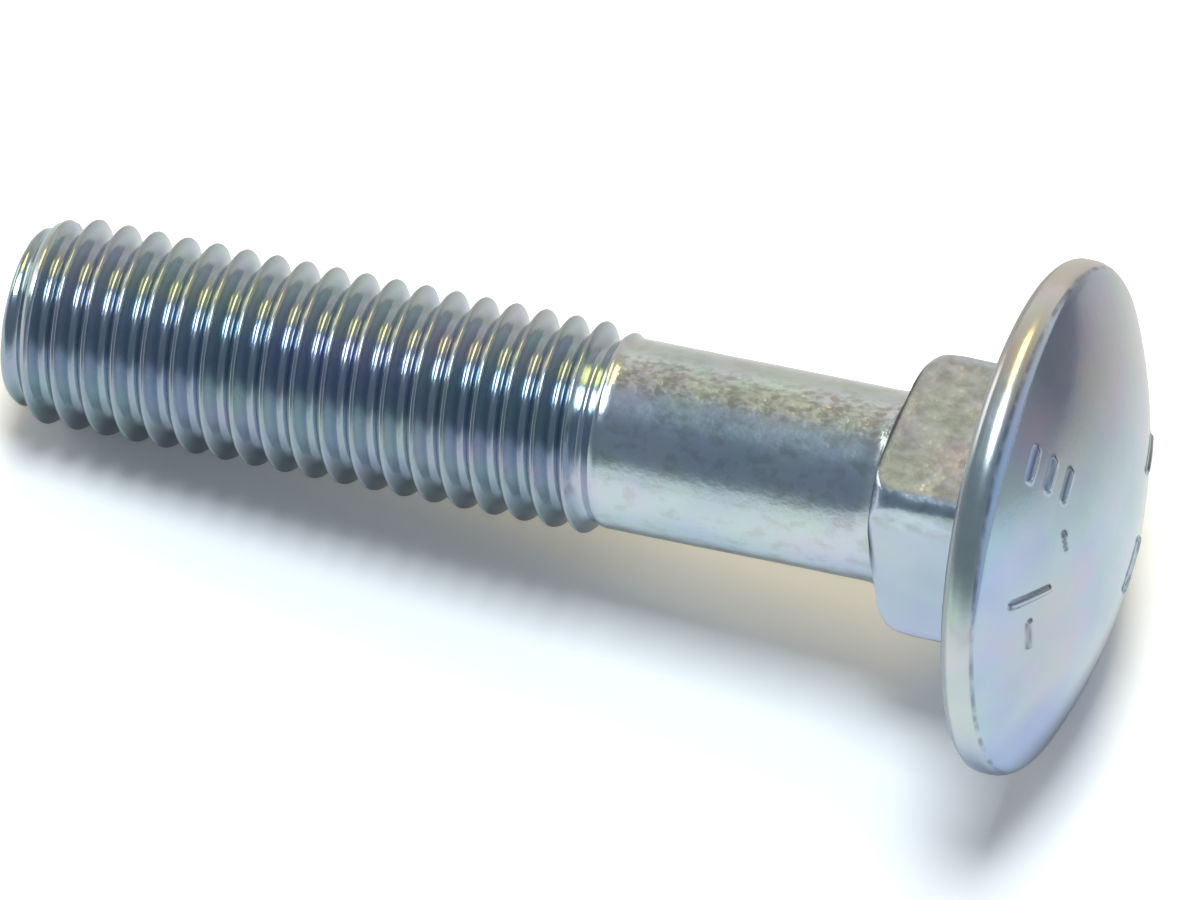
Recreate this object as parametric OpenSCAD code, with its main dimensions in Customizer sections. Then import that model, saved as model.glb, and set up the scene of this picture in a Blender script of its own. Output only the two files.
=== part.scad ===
// Carriage bolt, M10 x 50, lying at rest on the edge of its head and on its thread.
// Built along +Z with the bearing face at z = 0 and the head above it, then laid down.

/* [Length] */
// Length from the bearing face under the head to the thread end
bolt_length = 49.6; // [35:0.1:120]

/* [Thread] */
// Diameter over the thread crests
thread_d = 9.94; // [9.72:0.01:9.97]
// Diameter at the bottom of the thread groove
thread_root_d = 8.16; // [7.9:0.02:8.6]
// Distance from one turn to the next
thread_pitch = 1.5; // [1.25:0.05:1.75]
// Length of the threaded stretch, with its run-out
thread_length = 30.4; // [18:0.2:34]
// Length over which the groove fades out towards the shank
runout_length = 1.8; // [1:0.1:4]
// Width of the flat on each crest
crest_w = 0.25; // [0.15:0.01:0.35]
// Width of the flat at the bottom of the groove
root_w = 0.25; // [0.15:0.01:0.35]
// Length of the bevel at the thread end
point_length = 1.6; // [0.8:0.1:3]
// Diameter of the flat face at the thread end
point_d = 8.2; // [7.6:0.05:9]
// Turn of the thread about its axis
thread_turn = 293; // [0:1:360]

/* [Shank] */
// Diameter of the plain shank
shank_d = 9.06; // [8.8:0.02:9.4]
// Radius of the fillet where the shank meets the neck
shank_fillet_r = 0.25; // [0.1:0.05:0.4]

/* [Square neck] */
// Width across the flats of the square neck
neck_w = 10; // [9.8:0.02:11]
// Length of the neck from the bearing face
neck_length = 5.8; // [4.5:0.1:8]
// Radius of the neck's four long edges
neck_edge_r = 1; // [0.3:0.05:1.5]
// Radius that rounds the neck's corners towards the shank
neck_nose_r = 1.2; // [0.6:0.05:2]
// Turn of the neck about the axis, from a flat that faces up
neck_turn = -8; // [-45:1:45]

/* [Head] */
// Diameter of the head
head_d = 24.4; // [21:0.1:28]
// Height of the head above the bearing face
head_h = 4.8; // [4.2:0.05:7]
// Height of the head's rim, up to where the dome would meet it
rim_h = 1.55; // [1.5:0.05:2.2]
// Radius of the rim's edge on the bearing side
bearing_edge_r = 0.8; // [0.2:0.05:0.8]
// Radius of the rim's edge on the dome side
dome_edge_r = 0.8; // [0.3:0.05:0.8]

/* [Raised marks on the dome] */
// Height of the marks above the dome
mark_h = 0.16; // [0.05:0.01:0.4]
// Width of each mark's stroke
mark_w = 0.4; // [0.3:0.05:0.8]
// Length of a short mark
mark_short = 1.7; // [0.8:0.1:2.5]
// Length of a long mark
mark_long = 2.9; // [1.5:0.1:3.5]
// Distance from the axis to the outer ring of marks
mark_ring_r = 8.6; // [7:0.1:9]
// Distance from the axis to the inner ring of marks
mark_inner_r = 6.4; // [5.5:0.1:7]
// Distance from the axis to the mark nearest to the middle
mark_core_r = 4.4; // [3:0.1:5]
// Distance between marks of a group
mark_step = 1.4; // [1:0.1:1.6]

/* [Hidden] */
$fn = 96;

steel = [0.70, 0.75, 0.80];

shank_r = shank_d / 2;
head_r = head_d / 2;
crest_r = thread_d / 2;
root_r = thread_root_d / 2;
point_r = point_d / 2;

// Dome: a sphere through the apex and through the top of the rim
dome_h = head_h - rim_h;
dome_r = (head_r ^ 2 + dome_h ^ 2) / (2 * dome_h);
dome_z = head_h - dome_r;
// Centre of the small arc between the rim and the dome
edge_x = head_r - dome_edge_r;
edge_z = dome_z + sqrt((dome_r - dome_edge_r) ^ 2 - edge_x ^ 2);
// Where that arc runs into the dome
edge_share = dome_r / (dome_r - dome_edge_r);
meet_x = edge_x * edge_share;
meet_z = dome_z + (edge_z - dome_z) * edge_share;

// Neck: distance from the axis to the outermost point of a rounded corner
neck_reach = neck_w / sqrt(2) - neck_edge_r * (sqrt(2) - 1);
// How far the neck and the shank reach into what they grow from
root_in = 0.8;

// Thread: heights of its two ends and of the face where the plain shank starts
end_z = -bolt_length;
shank_z = -(bolt_length - thread_length);
fade_start = shank_z - runout_length;
fade_end = shank_z - 0.3;
// The thread's tube ends inside the shank, a hair under its surface
tube_r = shank_r - 0.04;
tube_z = shank_z + 0.5;
sides = 40;
rows_per_turn = 4;
// Smallest distance between a row of points and an end ring
row_gap = 0.06;
flank_w = (thread_pitch - crest_w - root_w) / 2;
row_z = [0, crest_w, crest_w + flank_w, crest_w + flank_w + root_w];
turn_rows = ceil((tube_z - end_z) / thread_pitch + 2) * rows_per_turn;
thread_phase = thread_pitch * thread_turn / 360;
// The first crest starts about one turn below the end, and is cut off there
first_z = end_z - 2 * thread_pitch + thread_phase - crest_w / 2;

// Share of the thread's depth that is left at height z
function depth_share(z) =
    let (t = max(0, min(1, (z - fade_start) / (fade_end - fade_start))))
    1 - t * t * (3 - 2 * t);

// Radius that the bevel at the thread end leaves at height z
function bevel_r(z) = point_r + (crest_r - point_r) * (z - end_z) / point_length;

function is_crest(row) = row % rows_per_turn < 2;

// Height and radius of the thread's surface at a row, on one of its sides
function thread_z(row, side) =
    first_z + thread_pitch * (floor(row / rows_per_turn) + side / sides)
    + row_z[row % rows_per_turn];
function thread_r(row, z) =
    let (full = min(is_crest(row) ? crest_r : root_r, bevel_r(z)))
    tube_r + (full - tube_r) * depth_share(z);

// First and last row that lie between the two end rings on each side
first_row = [for (side = [0 : sides - 1])
    min([for (row = [0 : 4 * rows_per_turn]) if (thread_z(row, side) > end_z + row_gap) row])];
last_row = [for (side = [0 : sides - 1])
    max([for (row = [0 : turn_rows]) if (thread_z(row, side) < shank_z - row_gap) row])];

// Rest: the bolt lies on the bearing edge of its head and on the lowest thread crest.
// Tilt at which a thread point on the underside would touch the surface with the head
function touch_tilt(z, r) =
    let (run = bearing_edge_r - z, drop = head_r - bearing_edge_r - r)
    atan2(drop, run) + asin(bearing_edge_r / norm([run, drop]));
down = sides / 2;
tilt = min([for (row = [first_row[down] : first_row[down] + 3 * rows_per_turn])
    touch_tilt(thread_z(row, down), thread_r(row, thread_z(row, down)))]);
// Height of the bearing face's centre above the surface
rest_z = (head_r - bearing_edge_r) * cos(tilt) - bearing_edge_r * sin(tilt) + bearing_edge_r;
// Place of the bearing face's centre along X that puts the bolt's middle over the origin
reach_front = dome_z * cos(tilt) + dome_r;
reach_back = bolt_length * cos(tilt) + point_r * sin(tilt);
rest_x = (reach_back - reach_front) / 2;

function sum_to(list, count, i = 0, total = 0) =
    i >= count ? total : sum_to(list, count, i + 1, total + list[i]);
rows_on = [for (side = [0 : sides - 1]) last_row[side] - first_row[side] + 1];
row_start = [for (side = [0 : sides]) 2 * sides + sum_to(rows_on, side)];

function round_point(side, r, z) = [r * cos(360 * side / sides), r * sin(360 * side / sides), z];
function point_at(row, side) =
    let (z = thread_z(row, side))
    round_point(side, thread_r(row, z), z);

// Index of a row's point on a side; past the last side, the rows go on one turn up
function index(row, side) =
    side < sides
        ? row_start[side] + row - first_row[side]
        : row_start[0] + row + rows_per_turn - first_row[0];
function low(side) = side < sides ? first_row[side] : first_row[0] - rows_per_turn;
function high(side) = side < sides ? last_row[side] : last_row[0] - rows_per_turn;

thread_points = concat(
    [for (side = [0 : sides - 1]) round_point(side, point_r, end_z)],
    [for (side = [0 : sides - 1]) round_point(side, tube_r, tube_z)],
    [for (side = [0 : sides - 1]) for (row = [first_row[side] : last_row[side]]) point_at(row, side)]
);

thread_faces = concat(
    // The flat faces at both ends
    [[for (side = [0 : sides - 1]) side]],
    [[for (side = [sides - 1 : -1 : 0]) sides + side]],
    // From the end ring up to the first row
    [for (side = [0 : sides - 1]) [index(low(side), side), (side + 1) % sides, side]],
    [for (side = [0 : sides - 1])
        [index(low(side), side), index(low(side + 1), side + 1), (side + 1) % sides]],
    [for (side = [0 : sides - 1]) for (row = [low(side + 1) : 1 : low(side) - 1])
        [index(low(side), side), index(row + 1, side + 1), index(row, side + 1)]],
    // Between rows that both sides have
    [for (side = [0 : sides - 1])
        for (row = [low(side) : 1 : min(high(side), high(side + 1)) - 1])
            [index(row, side), index(row + 1, side), index(row + 1, side + 1)]],
    [for (side = [0 : sides - 1])
        for (row = [low(side) : 1 : min(high(side), high(side + 1)) - 1])
            [index(row, side), index(row + 1, side + 1), index(row, side + 1)]],
    // From the last row up to the ring inside the shank
    [for (side = [0 : sides - 1]) for (row = [high(side + 1) : 1 : high(side) - 1])
        [index(high(side + 1), side + 1), index(row, side), index(row + 1, side)]],
    [for (side = [0 : sides - 1])
        [index(high(side + 1), side + 1), index(high(side), side), sides + side]],
    [for (side = [0 : sides - 1])
        [index(high(side + 1), side + 1), sides + side, sides + (side + 1) % sides]]
);

module thread() {
    polyhedron(points = thread_points, faces = thread_faces, convexity = 20);
}

// Plain shank, with its fillet and the stretch that is hidden in the neck
module shank_profile() {
    translate([0, shank_z]) square([shank_r, root_in - shank_z]);
    difference() {
        translate([0, -neck_length - shank_fillet_r])
            square([shank_r + shank_fillet_r, shank_fillet_r + root_in]);
        translate([shank_r + shank_fillet_r, -neck_length - shank_fillet_r]) circle(shank_fillet_r);
    }
}

module shank() {
    rotate_extrude() shank_profile();
}

// Cross-section of the neck: a square with four round corners
module neck_section() {
    side = neck_w - 2 * neck_edge_r;
    square([neck_w, side], center = true);
    square([side, neck_w], center = true);
    for (x = [-1, 1], y = [-1, 1])
        translate([x * side / 2, y * side / 2]) circle(neck_edge_r);
}

// Round outline that limits the neck, rounded towards the shank
module neck_limit() {
    nose_x = neck_reach - neck_nose_r;
    translate([0, -neck_length]) square([nose_x, neck_length + 1]);
    translate([0, -neck_length + neck_nose_r])
        square([neck_reach + 1, neck_length - neck_nose_r + 1]);
    intersection() {
        translate([nose_x, -neck_length + neck_nose_r]) circle(neck_nose_r);
        translate([nose_x, -neck_length]) square([neck_nose_r + 1, neck_nose_r]);
    }
}

module square_neck() {
    rotate(neck_turn)
        intersection() {
            translate([0, 0, -neck_length]) linear_extrude(neck_length + root_in) neck_section();
            rotate_extrude() neck_limit();
        }
}

// Half outline of the head: flat bearing face, rounded rim, spherical dome
module head_profile() {
    polygon([
        [0, 0], [head_r - bearing_edge_r, 0], [head_r - bearing_edge_r, bearing_edge_r],
        [head_r, bearing_edge_r], [head_r, edge_z], [edge_x, edge_z], [meet_x, meet_z], [0, meet_z]
    ]);
    translate([head_r - bearing_edge_r, bearing_edge_r]) circle(bearing_edge_r);
    translate([edge_x, edge_z]) circle(dome_edge_r);
    intersection() {
        translate([0, dome_z]) circle(dome_r);
        translate([0, meet_z]) square([meet_x, head_h - meet_z + 1]);
    }
}

// One raised stroke: its middle lies at a radius and an angle about the axis
module stroke(angle, radius, length, turn = 0) {
    rotate(angle) translate([radius, 0]) rotate(turn) square([mark_w, length], center = true);
}

// Plain strokes, spread around the dome
module mark_pattern() {
    for (i = [-1 : 1]) stroke(18, mark_ring_r + i * mark_step, mark_short);
    stroke(39, mark_inner_r, mark_short * 0.6, 30);
    stroke(57, mark_ring_r, mark_long, 90);
    stroke(70, mark_ring_r, mark_short);
    stroke(-111, mark_inner_r, mark_long, 90);
    stroke(-166, mark_core_r, mark_long);
}

module head() {
    rotate_extrude() head_profile();
    intersection() {
        translate([0, 0, rim_h]) linear_extrude(head_h) mark_pattern();
        translate([0, 0, dome_z]) sphere(dome_r + mark_h);
    }
}

module upright_bolt() {
    head();
    square_neck();
    shank();
    thread();
}

module bolt() {
    color(steel)
        translate([rest_x, 0, rest_z]) rotate([0, -tilt, 0]) rotate([180, 0, 0]) rotate([0, 90, 0])
            upright_bolt();
}

bolt();
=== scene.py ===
"""Carriage bolt, M10 x 50, bright blue zinc, lying on a white floor."""

import math

import bpy
from mathutils import Matrix, Vector, noise


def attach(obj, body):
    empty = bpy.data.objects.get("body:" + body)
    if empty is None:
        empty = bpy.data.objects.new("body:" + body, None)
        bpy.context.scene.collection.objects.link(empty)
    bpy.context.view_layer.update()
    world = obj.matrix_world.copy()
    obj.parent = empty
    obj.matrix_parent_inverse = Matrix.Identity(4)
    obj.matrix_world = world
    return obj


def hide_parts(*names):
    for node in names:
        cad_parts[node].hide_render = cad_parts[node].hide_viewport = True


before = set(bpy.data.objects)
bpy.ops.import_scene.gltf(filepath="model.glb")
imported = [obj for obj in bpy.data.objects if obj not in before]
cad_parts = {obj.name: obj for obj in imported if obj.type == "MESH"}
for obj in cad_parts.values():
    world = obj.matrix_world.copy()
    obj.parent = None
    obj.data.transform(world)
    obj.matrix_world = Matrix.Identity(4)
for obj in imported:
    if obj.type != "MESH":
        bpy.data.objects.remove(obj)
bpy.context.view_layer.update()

MM = 0.001

# ---------------------------------------------------------------- sizes, mm
# Upright frame: bearing face at z = 0, head above it, thread end at z = -49.6.
LENGTH = 49.6
PITCH = 1.5
CREST_R = 4.98
ROOT_R = 4.15
CREST_ARC = 0.11
THREAD_L = 30.4
RUNOUT = 1.8
POINT_L = 1.6
POINT_R = 4.1
THREAD_TURN = 293.0

SHANK_R = 4.53
FILLET_R = 0.30
FLARE_H = 0.15
FLARE_L = 0.9

NECK_W = 10.0
NECK_L = 5.8
NECK_EDGE = 1.0
NECK_NOSE = 1.2
NECK_TURN = -8.0
NECK_ROOT = 0.3

HEAD_R = 12.2
HEAD_H = 4.8
RIM_H = 1.55
BEARING_EDGE = 0.6
DOME_EDGE = 1.1

MARK_H = 0.16
MARK_W = 0.4

TILT = 8.47965
REST_X = 22.3234
REST_Z = 11.9574

END_Z = -LENGTH
SHANK_Z = THREAD_L - LENGTH

DOME_H = HEAD_H - RIM_H
DOME_R = (HEAD_R**2 + DOME_H**2) / (2 * DOME_H)
DOME_Z = HEAD_H - DOME_R
EDGE_X = HEAD_R - DOME_EDGE
EDGE_Z = DOME_Z + math.sqrt((DOME_R - DOME_EDGE) ** 2 - EDGE_X**2)
MEET_A = math.atan2(EDGE_Z - DOME_Z, EDGE_X)

# A radius past every part, where the neck's nose does not limit it
NO_LIMIT = 20.0

# Segments around the axis, and steps of a small quarter round
N_THREAD = 128
N_NECK = 256
N_DOME = 512
N_ROUND = 5


def smooth(t):
    """Eases from 0 to 1 as t goes from 0 to 1."""
    t = max(0.0, min(1.0, t))
    return t * t * (3 - 2 * t)


def soft_min(a, b, k):
    """Smaller of two lengths, with the corner between them rounded over k."""
    h = max(0.0, k - abs(a - b)) / k
    return min(a, b) - h * h * k / 4


def lumps(x, y, z, size, seed=0.0):
    """Smooth noise from -1 to 1 at a place in mm."""
    return noise.noise(Vector((x / size + seed, y / size - seed, z / size + 2 * seed)))


# ---------------------------------------------------------------- mesh helper
class Shell:
    """Points and faces of one closed surface, built ring by ring along the axis."""

    def __init__(self):
        self.points = []
        self.faces = []

    def point(self, x, y, z):
        self.points.append((x, y, z))
        return len(self.points) - 1

    def ring(self, count, place):
        """One ring of points; place(angle) gives each one's own angle, radius and height."""
        first = len(self.points)
        for i in range(count):
            turn, r, z = place(2 * math.pi * i / count)
            self.point(r * math.cos(turn), r * math.sin(turn), z)
        return list(range(first, first + count))

    def bridge(self, low, high):
        """Faces between two rings; high may have as many points as low, or twice or half as many."""
        n, m = len(low), len(high)
        if n == m:
            for i in range(n):
                j = (i + 1) % n
                self.faces.append((low[i], low[j], high[j], high[i]))
        elif m == 2 * n:
            for i in range(n):
                j = (i + 1) % n
                self.faces.append((low[i], high[2 * i + 1], high[2 * i]))
                self.faces.append((low[i], low[j], high[2 * i + 1]))
                self.faces.append((low[j], high[(2 * i + 2) % m], high[2 * i + 1]))
        else:
            for i in range(m):
                j = (i + 1) % m
                self.faces.append((low[2 * i], low[2 * i + 1], high[i]))
                self.faces.append((low[2 * i + 1], high[j], high[i]))
                self.faces.append((low[2 * i + 1], low[(2 * i + 2) % n], high[j]))

    def cap(self, ring, z, up):
        """Closes a ring with a fan to one point on the axis."""
        tip = self.point(0.0, 0.0, z)
        n = len(ring)
        for i in range(n):
            j = (i + 1) % n
            self.faces.append((ring[i], ring[j], tip) if up else (ring[j], ring[i], tip))


shell = Shell()


# ---------------------------------------------------------------- thread
def profile_rows():
    """Heights over the crest's middle and radii of one turn: round crest, straight flanks, round root."""
    steep = math.tan(math.radians(60))
    arc = (math.radians(0), math.radians(20), math.radians(40), math.radians(60))
    half = [(CREST_ARC * math.sin(a), CREST_R - CREST_ARC * (1 - math.cos(a))) for a in arc]
    s, r = half[-1]
    root_arc = ROOT_R - (r + steep * s - steep * PITCH / 2)
    deep = [(PITCH / 2 - root_arc * math.sin(a), ROOT_R + root_arc * (1 - math.cos(a))) for a in arc]
    s2, r2 = deep[-1]
    half += [((s + s2) / 2, (r + r2) / 2)] + deep[::-1]
    return half + [(PITCH - s, r) for s, r in half[1:-1]][::-1]


ROWS = profile_rows()
M = len(ROWS)

# Turns of the helix past each end of the thread, which the end face and the run-out cut off
SPARE_TURNS = 3

# Radius and height over the end face of the rings that close the thread's end
TIP_RINGS = ((1.2, 0.03), (2.4, 0.02), (3.4, 0.0), (3.85, 0.0), (4.02, 0.02), (4.1, 0.075))


def row_height(row, side):
    turn = row // M
    first = END_Z - SPARE_TURNS * PITCH + PITCH * THREAD_TURN / 360
    return first + PITCH * (turn + side / N_THREAD) + ROWS[row % M][0]


def row_radius(row, z, angle):
    """Radius of the thread, slightly wavy, cut by the point's bevel and run out into the shank."""
    full = ROWS[row % M][1]
    x, y = 4.5 * math.cos(angle), 4.5 * math.sin(angle)
    if full > 4.6:
        full += 0.012 * lumps(x, y, z, 1.6, 3.0)
    else:
        full += 0.008 * lumps(x, y, z, 1.1, 5.0)
    bevel = POINT_R + (CREST_R - POINT_R) * (z - END_Z) / POINT_L
    full = soft_min(full, bevel, 0.08)
    t = smooth((z - (SHANK_Z - RUNOUT)) / (RUNOUT - 0.3))
    return full + (shank_radius(angle, z) - full) * t


def shank_radius(angle, z):
    """Radius of the slightly wavy shank, with its flare before the neck."""
    x, y = 4.5 * math.cos(angle), 4.5 * math.sin(angle)
    t = max(0.0, min(1.0, (z + NECK_L + FILLET_R) / FLARE_L + 1))
    waves = 0.010 * lumps(x, y, z * 0.8, 1.5, 1.0) + 0.006 * lumps(x, y, z, 0.7, 2.0)
    return SHANK_R + FLARE_H * t * t + waves


def build_thread():
    """From the flat end face to a ring where the plain shank starts."""
    sides = N_THREAD
    gap = 0.05
    tip_rings = []
    for r, z in TIP_RINGS:
        def place(a, r=r, z=z):
            x, y = r * math.cos(a), r * math.sin(a)
            return a, r + 0.01 * lumps(x, y, 0, 1.5, 7.0), END_Z + z + 0.02 * lumps(x, y, 0, 1.3, 8.0)
        count = 32 if r < 2 else 64 if r < 3 else sides
        tip_rings.append(shell.ring(count, place))
    shell.cap(tip_rings[0], END_Z + 0.035, False)
    for a, b in zip(tip_rings, tip_rings[1:]):
        shell.bridge(a, b)
    low_ring = tip_rings[-1]
    low_z = END_Z + TIP_RINGS[-1][1]

    columns = []
    total = int((THREAD_L / PITCH + 2 * SPARE_TURNS) * M)
    for side in range(sides):
        angle = 2 * math.pi * side / sides
        rows = [
            r for r in range(total)
            if low_z + gap + 0.03 < row_height(r, side) < SHANK_Z - gap
        ]
        index = {}
        for r in rows:
            z = row_height(r, side)
            rad = row_radius(r, z, angle)
            index[r] = shell.point(rad * math.cos(angle), rad * math.sin(angle), z)
        columns.append(index)
    high_ring = shell.ring(sides, lambda a: (a, shank_radius(a, SHANK_Z), SHANK_Z))

    def column(side):
        """Row numbers and points of a column; past the last one, the rows go on one turn up."""
        if side < sides:
            return columns[side]
        return {r - M: p for r, p in columns[0].items()}

    for side in range(sides):
        here, there = column(side), column(side + 1)
        lo_a, hi_a = min(here), max(here)
        lo_b, hi_b = min(there), max(there)
        la, lb = low_ring[side], low_ring[(side + 1) % sides]
        ha, hb = high_ring[side], high_ring[(side + 1) % sides]
        # The rows climb with the angle, so the next column starts at the same row or a lower one
        shell.faces.append((la, lb, here[lo_a]))
        for r in range(lo_b, lo_a):
            shell.faces.append((here[lo_a], there[r], there[r + 1]))
        shell.faces.append((here[lo_a], lb, there[lo_b]))
        for r in range(lo_a, min(hi_a, hi_b)):
            shell.faces.append((here[r], there[r], there[r + 1], here[r + 1]))
        for r in range(hi_b, hi_a):
            shell.faces.append((there[hi_b], here[r + 1], here[r]))
        shell.faces.append((there[hi_b], ha, here[hi_a]))
        shell.faces.append((there[hi_b], hb, ha))
    return high_ring


# ---------------------------------------------------------------- neck
def neck_angle(a, share):
    """Columns gather at the neck's four corners."""
    corner = math.radians(NECK_TURN + 45)
    return a + share * 0.7 * math.sin(4 * (a - corner)) / -4


def square_radius(a):
    """Distance from the axis to the rounded square's outline."""
    t = a - math.radians(NECK_TURN)
    x, y = abs(math.cos(t)), abs(math.sin(t))
    if x < y:
        x, y = y, x
    half, flat = NECK_W / 2, NECK_W / 2 - NECK_EDGE
    r = half / x
    if r * y > flat:
        b = flat * (x + y)
        r = b + math.sqrt(b * b - 2 * flat * flat + NECK_EDGE**2)
    return r


def neck_radius(a, z, limit):
    """Distance from the axis to the slightly wavy neck, held to the nose's limit."""
    x, y = 5 * math.cos(a), 5 * math.sin(a)
    r = soft_min(square_radius(a), limit, 0.16)
    return r + 0.018 * lumps(x, y, z, 1.8, 11.0) + 0.010 * lumps(x, y, z, 0.8, 12.0)


def build_shank(ring):
    """Even rings first, then twice as many points that gather at the neck's corners, then the fillet."""
    step, even = 0.55, 8
    for i in range(1, even + 1):
        z = SHANK_Z + step * i
        new = shell.ring(N_THREAD, lambda a, z=z: (a, shank_radius(a, z), z))
        shell.bridge(ring, new)
        ring = new
    start, stop = SHANK_Z + step * even, -NECK_L - FILLET_R
    rows = 24
    for i in range(1, rows + 1):
        z = stop + (start - stop) * (1 - i / rows) ** 1.6
        share = smooth(i / rows)
        new = shell.ring(
            N_NECK, lambda a, z=z, s=share: (neck_angle(a, s), shank_radius(neck_angle(a, s), z), z)
        )
        shell.bridge(ring, new)
        ring = new
    for i in range(1, N_ROUND + 1):
        b = math.radians(90 * i / N_ROUND)
        grow, z = FILLET_R * (1 - math.cos(b)), stop + FILLET_R * math.sin(b)
        new = shell.ring(
            N_NECK,
            lambda a, g=grow, z=z: (neck_angle(a, 1), shank_radius(neck_angle(a, 1), z) + g, z),
        )
        shell.bridge(ring, new)
        ring = new
    return ring


def build_neck(ring):
    """The rounded nose, the straight faces, and the fillet to the head."""
    nose_x = NECK_W / math.sqrt(2) - NECK_EDGE * (math.sqrt(2) - 1) - NECK_NOSE
    steps = 15
    for i in range(1, steps + 1):
        b = math.radians(90 * i / steps)
        limit, z = nose_x + NECK_NOSE * math.sin(b), -NECK_L + NECK_NOSE * (1 - math.cos(b))

        def place(a, limit=limit, z=z):
            t = neck_angle(a, 1)
            return t, neck_radius(t, z, limit), z

        new = shell.ring(N_NECK, place)
        shell.bridge(ring, new)
        ring = new
    straight = 12
    for i in range(1, straight + 1):
        z = -NECK_L + NECK_NOSE + (NECK_L - NECK_NOSE - NECK_ROOT) * i / straight

        def place(a, z=z):
            t = neck_angle(a, 1)
            return t, neck_radius(t, z, NO_LIMIT), z

        new = shell.ring(N_NECK, place)
        shell.bridge(ring, new)
        ring = new
    for i in range(1, N_ROUND + 1):
        b = math.radians(90 * i / N_ROUND)
        grow, z = NECK_ROOT * (1 - math.cos(b)), -NECK_ROOT + NECK_ROOT * math.sin(b)

        def place(a, grow=grow, z=z):
            t = neck_angle(a, 1)
            return t, neck_radius(t, z, NO_LIMIT) + grow, z

        new = shell.ring(N_NECK, place)
        shell.bridge(ring, new)
        ring = new
    return ring


# ---------------------------------------------------------------- head
STROKES = (
    # angle, radius, length, turn, in the order of the part's source
    (18, 7.2, 1.7, 0),
    (18, 8.6, 1.7, 0),
    (18, 10.0, 1.7, 0),
    (39, 6.4, 1.02, 30),
    (57, 8.6, 2.9, 90),
    (70, 8.6, 1.7, 0),
    (-111, 6.4, 2.9, 90),
    (-166, 4.4, 2.9, 0),
)


def mark_height(x, y):
    """Height of the raised strokes over the dome at a place, with soft edges."""
    best = 0.0
    for angle, radius, length, turn in STROKES:
        a = math.radians(angle)
        px, py = radius * math.cos(a), radius * math.sin(a)
        dx, dy = x - px, y - py
        if math.hypot(dx, dy) > 2.0:
            continue
        t = math.radians(angle + turn)
        across = abs(dx * math.cos(t) + dy * math.sin(t))
        along = abs(-dx * math.sin(t) + dy * math.cos(t))
        over = max(0.0, along - (length - MARK_W) / 2)
        best = max(best, MARK_H * smooth((MARK_W * 0.72 - math.hypot(across, over)) / (MARK_W * 0.6)))
    return best


def mark_flank_shade(x, y, z):
    """1 on the steep sides of the raised strokes and 0 elsewhere: where their painted shade goes."""
    if z < RIM_H or math.hypot(x, y) > 11.5:
        return 0.0
    share = mark_height(x, y) / MARK_H
    return smooth(4 * share) * smooth(4 - 4 * share)


def build_head(ring):
    """The flat bearing face, its rounded edge, the rim, the dome's edge and the dome with its strokes."""
    steps = 9
    stop = HEAD_R - BEARING_EDGE
    for i in range(1, steps + 1):
        t = i / steps

        def place(a, t=t):
            turn = neck_angle(a, 1 - t)
            base = neck_radius(turn, 0, NO_LIMIT) + NECK_ROOT
            r = base + (stop - base) * t
            x, y = r * math.cos(turn), r * math.sin(turn)
            return turn, r, 0.006 * (1 - t) * lumps(x, y, 0, 1.4, 21.0)

        new = shell.ring(N_NECK, place)
        shell.bridge(ring, new)
        ring = new

    def rim_wave(a, z):
        x, y = 12 * math.cos(a), 12 * math.sin(a)
        return 0.012 * lumps(x, y, z, 3.0, 31.0)

    for i in range(1, steps + 1):
        b = math.radians(90 * i / steps)
        r, z = stop + BEARING_EDGE * math.sin(b), BEARING_EDGE * (1 - math.cos(b))
        new = shell.ring(N_NECK, lambda a, r=r, z=z: (a, r + rim_wave(a, z), z))
        shell.bridge(ring, new)
        ring = new
    rim_steps = 3
    for i in range(1, rim_steps + 1):
        z = BEARING_EDGE + (EDGE_Z - BEARING_EDGE) * i / rim_steps
        new = shell.ring(N_NECK, lambda a, z=z: (a, HEAD_R + rim_wave(a, z), z))
        shell.bridge(ring, new)
        ring = new
    for i in range(1, steps + 1):
        b = MEET_A * i / steps
        r, z = EDGE_X + DOME_EDGE * math.cos(b), EDGE_Z + DOME_EDGE * math.sin(b)
        new = shell.ring(N_NECK, lambda a, r=r, z=z: (a, r + rim_wave(a, z) * (1 - i / steps), z))
        shell.bridge(ring, new)
        ring = new

    reach = DOME_R * math.cos(MEET_A)
    r = reach
    while r > 0.25:
        step = 0.16 if r > 10.8 else 0.13 if r > 5.6 else 0.18
        r -= step
        count = N_DOME if 3.4 < r < 11.4 else 256 if r > 1.7 else 128 if r > 0.9 else 64 if r > 0.45 else 32

        def place(a, r=r):
            x, y = r * math.cos(a), r * math.sin(a)
            z = DOME_Z + math.sqrt(DOME_R**2 - r * r) + mark_height(x, y)
            z += 0.012 * lumps(x, y, 0, 5.0, 41.0) * smooth((reach - r) / 1.0)
            return a, r, z

        new = shell.ring(count, place)
        shell.bridge(ring, new)
        ring = new
    shell.cap(ring, HEAD_H, True)


build_head(build_neck(build_shank(build_thread())))

# From the upright frame to where the bolt rests on its head's rim and thread end
t = math.radians(TILT)
laid = Matrix(
    (
        (-math.sin(t), 0, math.cos(t), REST_X * MM),
        (0, -1, 0, 0),
        (math.cos(t), 0, math.sin(t), REST_Z * MM),
        (0, 0, 0, 1),
    )
)
mesh = bpy.data.meshes.new("bolt_body")
mesh.from_pydata([laid @ (Vector(p) * MM) for p in shell.points], [], shell.faces)
mesh.update()
mesh.polygons.foreach_set("use_smooth", [True] * len(mesh.polygons))
flanks = mesh.attributes.new("mark_flank_shade", "FLOAT", "POINT")
flanks.data.foreach_set("value", [mark_flank_shade(*p) for p in shell.points])
bolt = bpy.data.objects.new("bolt_body", mesh)
bpy.context.scene.collection.objects.link(bolt)
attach(bolt, "root")
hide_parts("bolt")


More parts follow.
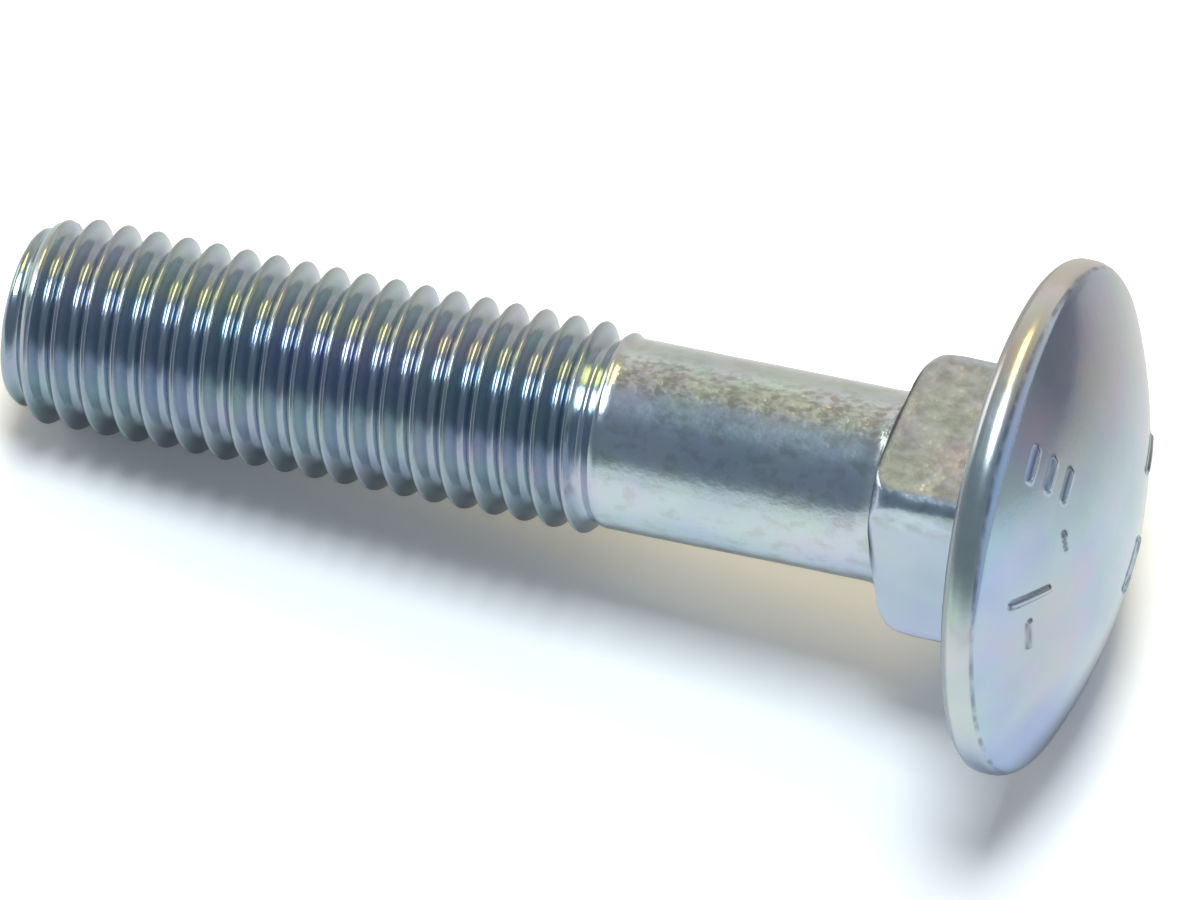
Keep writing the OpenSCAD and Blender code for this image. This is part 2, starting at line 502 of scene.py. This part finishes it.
# ---------------------------------------------------------------- materials
class Nodes:
    """Short helpers to build a node tree; inputs go by name, or by place as i0, i1 and so on."""

    def __init__(self, tree):
        self.tree = tree
        tree.nodes.clear()

    def add(self, kind, **inputs):
        node = self.tree.nodes.new(kind)
        for key, value in inputs.items():
            self.put(node, key, value)
        return node

    def put(self, node, key, value):
        socket = node.inputs[int(key[1:])] if key[0] == "i" and key[1:].isdigit() else node.inputs[key]
        if isinstance(value, bpy.types.NodeSocket):
            self.tree.links.new(value, socket)
        else:
            socket.default_value = value

    def math(self, operation, a, b=None, c=None, clamp=False):
        node = self.tree.nodes.new("ShaderNodeMath")
        node.operation = operation
        node.use_clamp = clamp
        for i, value in enumerate((a, b, c)):
            if value is not None:
                self.put(node, f"i{i}", value)
        return node.outputs[0]

    def noise(self, vector, scale, detail=2.0, roughness=0.5):
        node = self.tree.nodes.new("ShaderNodeTexNoise")
        self.put(node, "Vector", vector)
        self.put(node, "Scale", scale)
        self.put(node, "Detail", detail)
        self.put(node, "Roughness", roughness)
        return node.outputs["Fac"]

    def ramp(self, value, stops):
        node = self.tree.nodes.new("ShaderNodeValToRGB")
        self.put(node, "Fac", value)
        ramp = node.color_ramp
        while len(ramp.elements) < len(stops):
            ramp.elements.new(0.5)
        for element, (position, colour) in zip(ramp.elements, stops):
            element.position = position
            element.color = (*colour, 1.0)
        return node.outputs["Color"]

    def mix(self, factor, a, b, blend="MIX"):
        node = self.tree.nodes.new("ShaderNodeMix")
        node.data_type = "RGBA"
        node.blend_type = blend
        self.put(node, "i0", factor)
        self.put(node, "i6", a)
        self.put(node, "i7", b)
        return node.outputs[2]


def zinc_material():
    material = bpy.data.materials.new("bright_zinc")
    material.use_nodes = True
    n = Nodes(material.node_tree)
    # Object coordinates turned back into the upright frame of the sizes above
    upright = laid.inverted()
    where = n.add(
        "ShaderNodeMapping",
        Vector=n.add("ShaderNodeTexCoord").outputs["Object"],
        Location=upright.to_translation(),
        Rotation=upright.to_euler(),
    ).outputs[0]
    drawn_out = n.add("ShaderNodeMapping", Vector=where, Scale=(1, 1, 0.75)).outputs[0]
    split = n.add("ShaderNodeSeparateXYZ", Vector=where)
    x, y, z = (split.outputs[k] for k in "XYZ")
    across = n.math("SQRT", n.math("ADD", n.math("POWER", x, 2.0), n.math("POWER", y, 2.0)))

    def slope(value, start, stop):
        """0 at one place in mm and 1 at the other."""
        wide = stop - start
        return n.math("MULTIPLY_ADD", value, 1 / (wide * MM), -start / wide, clamp=True)

    def above(height, blur=0.15):
        return slope(z, height - blur / 2, height + blur / 2)

    def below(height, blur=0.15):
        return slope(z, height + blur / 2, height - blur / 2)

    def both(first, *others):
        for other in others:
            first = n.math("MULTIPLY", first, other)
        return first

    # Parts of the bolt; as it lies, x points up and y to the front
    thread = below(SHANK_Z - 1.6, 0.8)
    shank = both(above(SHANK_Z - 0.6, 0.8), below(-NECK_L))
    neck = both(above(-NECK_L), below(-0.1))
    head = above(0.1)
    # Painted shade: the thread's grooves are darkened
    groove_shade = slope(across, 4.90, 4.30)
    # Painted shade: the thread's crests are darkened, which dims their reflections
    crest = slope(across, 4.60, 4.90)
    # Painted shade: the thread's lower side is darkened
    low = slope(x, 0.72, -0.48)
    # Band along the shank's upper front where its rough surface catches the light: rougher there, with
    # painted glints
    glint_band = both(slope(y, 0.6, 0.2), slope(y, -2.1, -1.5), slope(x, 0, 1))
    # Painted shade: a dark band round the upper side of the neck's nose, where it meets the shank; it is also
    # rougher
    nose = both(above(-NECK_L - 0.20, 0.1), below(-NECK_L + 0.15, 0.2), slope(x, 0, 2))
    top = slope(x, 3.4, 4.2)
    # Painted shade: a dark, rougher band at the head's bearing edge
    lip_shade = both(above(0.05, 0.1), below(0.42, 0.16))
    rim = both(head, below(RIM_H, 0.3))
    # Painted shade: a dark line in the crease between the rim and the dome, broken into dashes
    crease_shade = both(above(RIM_H - 0.05, 0.06), below(RIM_H + 0.11, 0.08), slope(across, 11.6, 11.7))
    outer = both(head, slope(across, 7.5, 11.5))
    # Painted shade: the upper part of the dome's outer ring is darker and bluer
    over = both(outer, slope(x, 5.5, 8.5), n.math("SUBTRACT", 1.0, rim))
    # Painted shade: the lower part of the dome's outer ring is darker and bluer
    under = both(head, slope(across, 6.5, 9.0), slope(x, -1.2, -3.2), slope(x, -10.5, -5.5))

    # Grey zinc under a thin film that goes through green, blue and pink
    large = n.noise(where, 240.0, 3.0)
    hue = n.noise(where, 330.0)
    broad = n.noise(where, 150.0, 2.0, 0.4)
    # Noise that breaks the crease's painted shade into dashes
    dashes = n.math("MULTIPLY_ADD", n.noise(where, 1100.0), 4.0, -1.4, clamp=True)
    grain = n.noise(drawn_out, 1500.0, 3.0, 0.55)
    fine = n.noise(where, 4200.0)
    grey = n.ramp(large, ((0.30, (0.50, 0.60, 0.68)), (0.50, (0.56, 0.65, 0.71)), (0.70, (0.60, 0.67, 0.69))))
    film = n.ramp(
        hue,
        (
            (0.32, (0.96, 1.02, 0.97)),
            (0.44, (0.98, 1.01, 1.00)),
            (0.56, (1.00, 0.98, 1.04)),
            (0.68, (1.05, 0.95, 1.05)),
        ),
    )
    patches = n.ramp(
        broad,
        (
            (0.30, (0.86, 0.97, 0.97)),
            (0.44, (0.90, 0.96, 1.02)),
            (0.55, (0.92, 0.93, 1.06)),
            (0.68, (0.98, 0.93, 0.99)),
        ),
    )
    speck = n.ramp(grain, ((0.36, (0.90, 0.87, 0.84)), (0.50, (1.0, 1.0, 1.0))))
    # Painted glints: light and dark flecks for the band along the shank's upper front
    glint_flecks = n.ramp(
        n.noise(drawn_out, 3000.0),
        ((0.38, (0.85, 0.82, 0.77)), (0.50, (1.0, 1.0, 0.99)), (0.62, (1.18, 1.18, 1.16))),
    )
    mottle = n.ramp(
        grain,
        ((0.34, (0.88, 0.87, 0.78)), (0.50, (1.04, 1.04, 0.98)), (0.64, (1.16, 1.16, 1.12))),
    )

    tint = n.mix(1.0, grey, film, "MULTIPLY")
    for mask, colour in (
        (shank, speck),
        (both(shank, glint_band), glint_flecks),
        (shank, (1.10, 1.12, 1.10, 1)),
        (neck, (0.98, 0.98, 1.07, 1)),
        (both(neck, top), mottle),
        # painted shade at the neck's nose
        (nose, (0.14, 0.15, 0.18, 1)),
        (head, patches),
        (outer, (1.02, 1.06, 1.08, 1)),
        # painted shade on the dome's upper outer ring
        (over, (0.92, 0.95, 1.04, 1)),
        # painted shade on the dome's lower outer ring
        (under, (0.70, 0.76, 0.98, 1)),
        # Painted warm reflection: the rim is painted warmer and lighter
        (rim, (1.24, 1.09, 0.93, 1)),
        (lip_shade, (0.66, 0.64, 0.70, 1)),
        (both(crease_shade, dashes), (0.55, 0.55, 0.56, 1)),
        # painted shade in the thread's grooves
        (both(thread, groove_shade), (0.68, 0.72, 0.79, 1)),
        # painted shade on the thread's crests
        (both(thread, crest), (0.72, 0.74, 0.76, 1)),
        # painted shade on the thread's lower side
        (both(thread, low), (0.72, 0.73, 0.69, 1)),
    ):
        tint = n.mix(mask, tint, colour, "MULTIPLY")
    # Painted shade: the steep sides of the raised strokes are darkened
    flank_shade = n.add("ShaderNodeAttribute")
    flank_shade.attribute_name = "mark_flank_shade"
    tint = n.mix(n.math("MULTIPLY", flank_shade.outputs["Fac"], 0.75), tint, (0.10, 0.11, 0.14, 1))

    rough = n.math("MULTIPLY_ADD", grain, 0.10, 0.14)
    for mask, more in ((shank, 0.01), (neck, 0.04), (head, -0.08), (rim, 0.11), (lip_shade, 0.10), (nose, 0.20)):
        rough = n.math("MULTIPLY_ADD", mask, more, rough)

    scored = both(shank, n.math("MULTIPLY_ADD", glint_band, 0.50, 0.25))
    bump = n.add("ShaderNodeBump", Height=n.math("MULTIPLY_ADD", fine, 0.25, grain), Distance=0.00006)
    n.put(bump, "Strength", n.math("ADD", n.math("MULTIPLY_ADD", neck, 0.40, 0.08), scored))

    shader = n.add(
        "ShaderNodeBsdfPrincipled",
        **{"Base Color": tint, "Metallic": 1.0, "Roughness": rough, "Normal": bump.outputs[0]},
    )
    n.put(n.add("ShaderNodeOutputMaterial"), "Surface", shader.outputs[0])
    return material


mesh.materials.append(zinc_material())

# ---------------------------------------------------------------- floor
# The camera sees it as plain white under the bolt's shadow
FLOOR_HALF = 3.0
floor_mesh = bpy.data.meshes.new("floor")
corners = ((-1, -1), (1, -1), (1, 1), (-1, 1))
floor_mesh.from_pydata([(a * FLOOR_HALF, b * FLOOR_HALF, 0) for a, b in corners], [], [(0, 1, 2, 3)])
floor = bpy.data.objects.new("floor", floor_mesh)
bpy.context.scene.collection.objects.link(floor)
material = bpy.data.materials.new("white_floor")
material.use_nodes = True
n = Nodes(material.node_tree)
seen = n.add("ShaderNodeLightPath").outputs["Is Camera Ray"]
white = n.mix(seen, (0.95, 0.95, 0.95, 1), (1.35, 1.35, 1.35, 1))
diffuse = n.add("ShaderNodeBsdfDiffuse", Color=white)
out = n.add("ShaderNodeOutputMaterial")
n.put(out, "Surface", diffuse.outputs[0])
floor_mesh.materials.append(material)

# ---------------------------------------------------------------- light
world = bpy.data.worlds.new("studio")
bpy.context.scene.world = world
world.use_nodes = True
n = Nodes(world.node_tree)
direction = n.add("ShaderNodeTexCoord").outputs["Generated"]
split = n.add("ShaderNodeSeparateXYZ", Vector=direction)
x, y, z = (split.outputs[k] for k in "XYZ")
# Angle from straight up towards the front, as a share of -90 to 90 degrees
angle = n.math("ARCTAN2", n.math("MULTIPLY", y, -1.0), z)
share = n.math("MULTIPLY_ADD", angle, 1 / math.pi, 0.5, clamp=True)


def at(degrees):
    return degrees / 180 + 0.5


sky = n.ramp(
    share,
    (
        (at(-90), (0.78, 0.71, 0.62)),
        (at(-80), (0.78, 0.71, 0.62)),
        (at(-60), (0.60, 0.53, 0.44)),
        (at(-40), (0.42, 0.38, 0.33)),
        (at(-20), (0.28, 0.30, 0.31)),
        (at(0), (0.20, 0.235, 0.28)),
        (at(20), (0.17, 0.20, 0.25)),
        (at(60), (0.17, 0.20, 0.235)),
        (at(70), (0.22, 0.25, 0.27)),
        (at(77), (0.48, 0.52, 0.52)),
        (at(86), (0.80, 0.84, 0.82)),
    ),
)
# Plain colours far to the left and right, and a little less light on the floor than in reflections
left = n.math("MULTIPLY_ADD", x, -2.5, -1.5, clamp=True)
sky = n.mix(left, sky, (0.29, 0.31, 0.35, 1))
right_side = n.math("MULTIPLY_ADD", x, 2.5, -1.5, clamp=True)
sky = n.mix(right_side, sky, (0.52, 0.55, 0.62, 1))
path = n.add("ShaderNodeLightPath")
soft = n.math("MULTIPLY_ADD", path.outputs["Is Diffuse Ray"], -0.2, 1.0)
background = n.add("ShaderNodeBackground", Color=sky, Strength=soft)
plain = n.add("ShaderNodeBackground", Color=(1, 1, 1, 1), Strength=1.0)
pick = n.add("ShaderNodeMixShader", Fac=path.outputs["Is Camera Ray"])
n.put(pick, "i1", background.outputs[0])
n.put(pick, "i2", plain.outputs[0])
out = n.add("ShaderNodeOutputWorld")
n.put(out, "Surface", pick.outputs[0])


def softbox(name, direction, distance, wide, high, radiance, colour):
    """A rectangular light that faces the bolt, of a given brightness per area."""
    light = bpy.data.lights.new(name, "AREA")
    light.shape = "RECTANGLE"
    light.size, light.size_y = wide, high
    light.energy = radiance * math.pi * wide * high
    light.color = colour
    o = bpy.data.objects.new(name, light)
    bpy.context.scene.collection.objects.link(o)
    d = Vector(direction).normalized()
    o.location = d * distance
    o.rotation_euler = d.to_track_quat("Z", "Y").to_euler()


softbox("key", (0.00, 0.07, 1.0), 1.0, 0.28, 0.36, 18.5, (0.86, 0.94, 1.0))
softbox("warm", (-0.06, 0.60, 0.80), 1.0, 0.26, 0.44, 5.6, (1.0, 0.72, 0.20))
softbox("side", (-0.90, 0.30, 0.33), 1.0, 0.50, 0.50, 2.2, (1.0, 0.95, 0.75))

# Painted shade behind the bolt, which only the metal's reflections show: a card on the floor, painted darker
# towards the back and to the back right of the head, where the sheet gets darker and ends
card_mesh = bpy.data.meshes.new("shade_card")
spots = ((-450, 9), (14, 9), (30, -15), (400, -150), (400, 430), (14, 430), (-450, 430))
card_mesh.from_pydata([(x * MM, y * MM, 0) for x, y in spots], [], [(0, 1, 5, 6), (1, 2, 3, 4, 5)])
card = bpy.data.objects.new("shade_card", card_mesh)
bpy.context.scene.collection.objects.link(card)
card.location = ((REST_X + 3) * MM, 0, 0.0003)
material = bpy.data.materials.new("shade_card")
material.use_nodes = True
n = Nodes(material.node_tree)
split = n.add("ShaderNodeSeparateXYZ", Vector=n.add("ShaderNodeTexCoord").outputs["Object"])
x, y = split.outputs["X"], split.outputs["Y"]
# Shares of 100 mm back from the bolt, and of 100 mm to the back right of the head
deep = n.math("MULTIPLY", y, 10.0, clamp=True)
aslant = n.math("ADD", n.math("MULTIPLY", x, 5.0), n.math("MULTIPLY", y, 8.66), clamp=True)
back_fade = n.ramp(
    deep,
    (
        (0.09, (0.95, 0.95, 0.95)),
        (0.16, (0.86, 0.84, 0.82)),
        (0.28, (0.75, 0.69, 0.63)),
        (0.60, (0.71, 0.65, 0.59)),
    ),
)
right_fade = n.ramp(
    aslant,
    (
        (0.16, (1.0, 1.0, 1.0)),
        (0.28, (0.88, 0.86, 0.85)),
        (0.38, (0.79, 0.76, 0.75)),
        (0.50, (0.65, 0.62, 0.64)),
        (0.62, (0.35, 0.37, 0.44)),
        (0.85, (0.32, 0.34, 0.40)),
    ),
)
turn = n.math("ARCTAN2", y, x)
near = n.math("MULTIPLY_ADD", turn, math.degrees(1) / 38, 3 / 38, clamp=True)
far = n.math("MULTIPLY_ADD", turn, -math.degrees(1) / 35, 88 / 35, clamp=True)
fade = n.mix(n.math("MULTIPLY", near, far), back_fade, n.mix(1.0, back_fade, right_fade, "MULTIPLY"))
diffuse = n.add("ShaderNodeBsdfDiffuse", Color=fade)
out = n.add("ShaderNodeOutputMaterial")
n.put(out, "Surface", diffuse.outputs[0])
card_mesh.materials.append(material)
card.visible_camera = False
card.visible_diffuse = False
card.visible_shadow = False

# ---------------------------------------------------------------- camera
# A long lens from the front right and well above, aimed near the middle of the bolt
AIM_LEFT, AIM_UP = 19.706, 2.970
AWAY = 0.9
LENS = 581.34
azimuth, elevation = math.radians(18.472), math.radians(58.475)
back = Vector(
    (
        math.sin(azimuth) * math.cos(elevation),
        -math.cos(azimuth) * math.cos(elevation),
        math.sin(elevation),
    )
)
right = Vector((math.cos(azimuth), math.sin(azimuth), 0))
up = back.cross(right)
aim = Vector((REST_X, 0, REST_Z)) * MM - right * AIM_LEFT * MM + up * AIM_UP * MM
camera_data = bpy.data.cameras.new("camera")
camera_data.sensor_width = 36.0
camera_data.lens = LENS
camera_data.clip_start, camera_data.clip_end = 0.01, 20.0
camera = bpy.data.objects.new("camera", camera_data)
bpy.context.scene.collection.objects.link(camera)
camera.matrix_world = Matrix(
    (
        (right.x, up.x, back.x, 0),
        (right.y, up.y, back.y, 0),
        (right.z, up.z, back.z, 0),
        (0, 0, 0, 1),
    )
)
camera.location = aim + back * AWAY
bpy.context.scene.camera = camera
bpy.context.scene.view_settings.view_transform = "Standard"
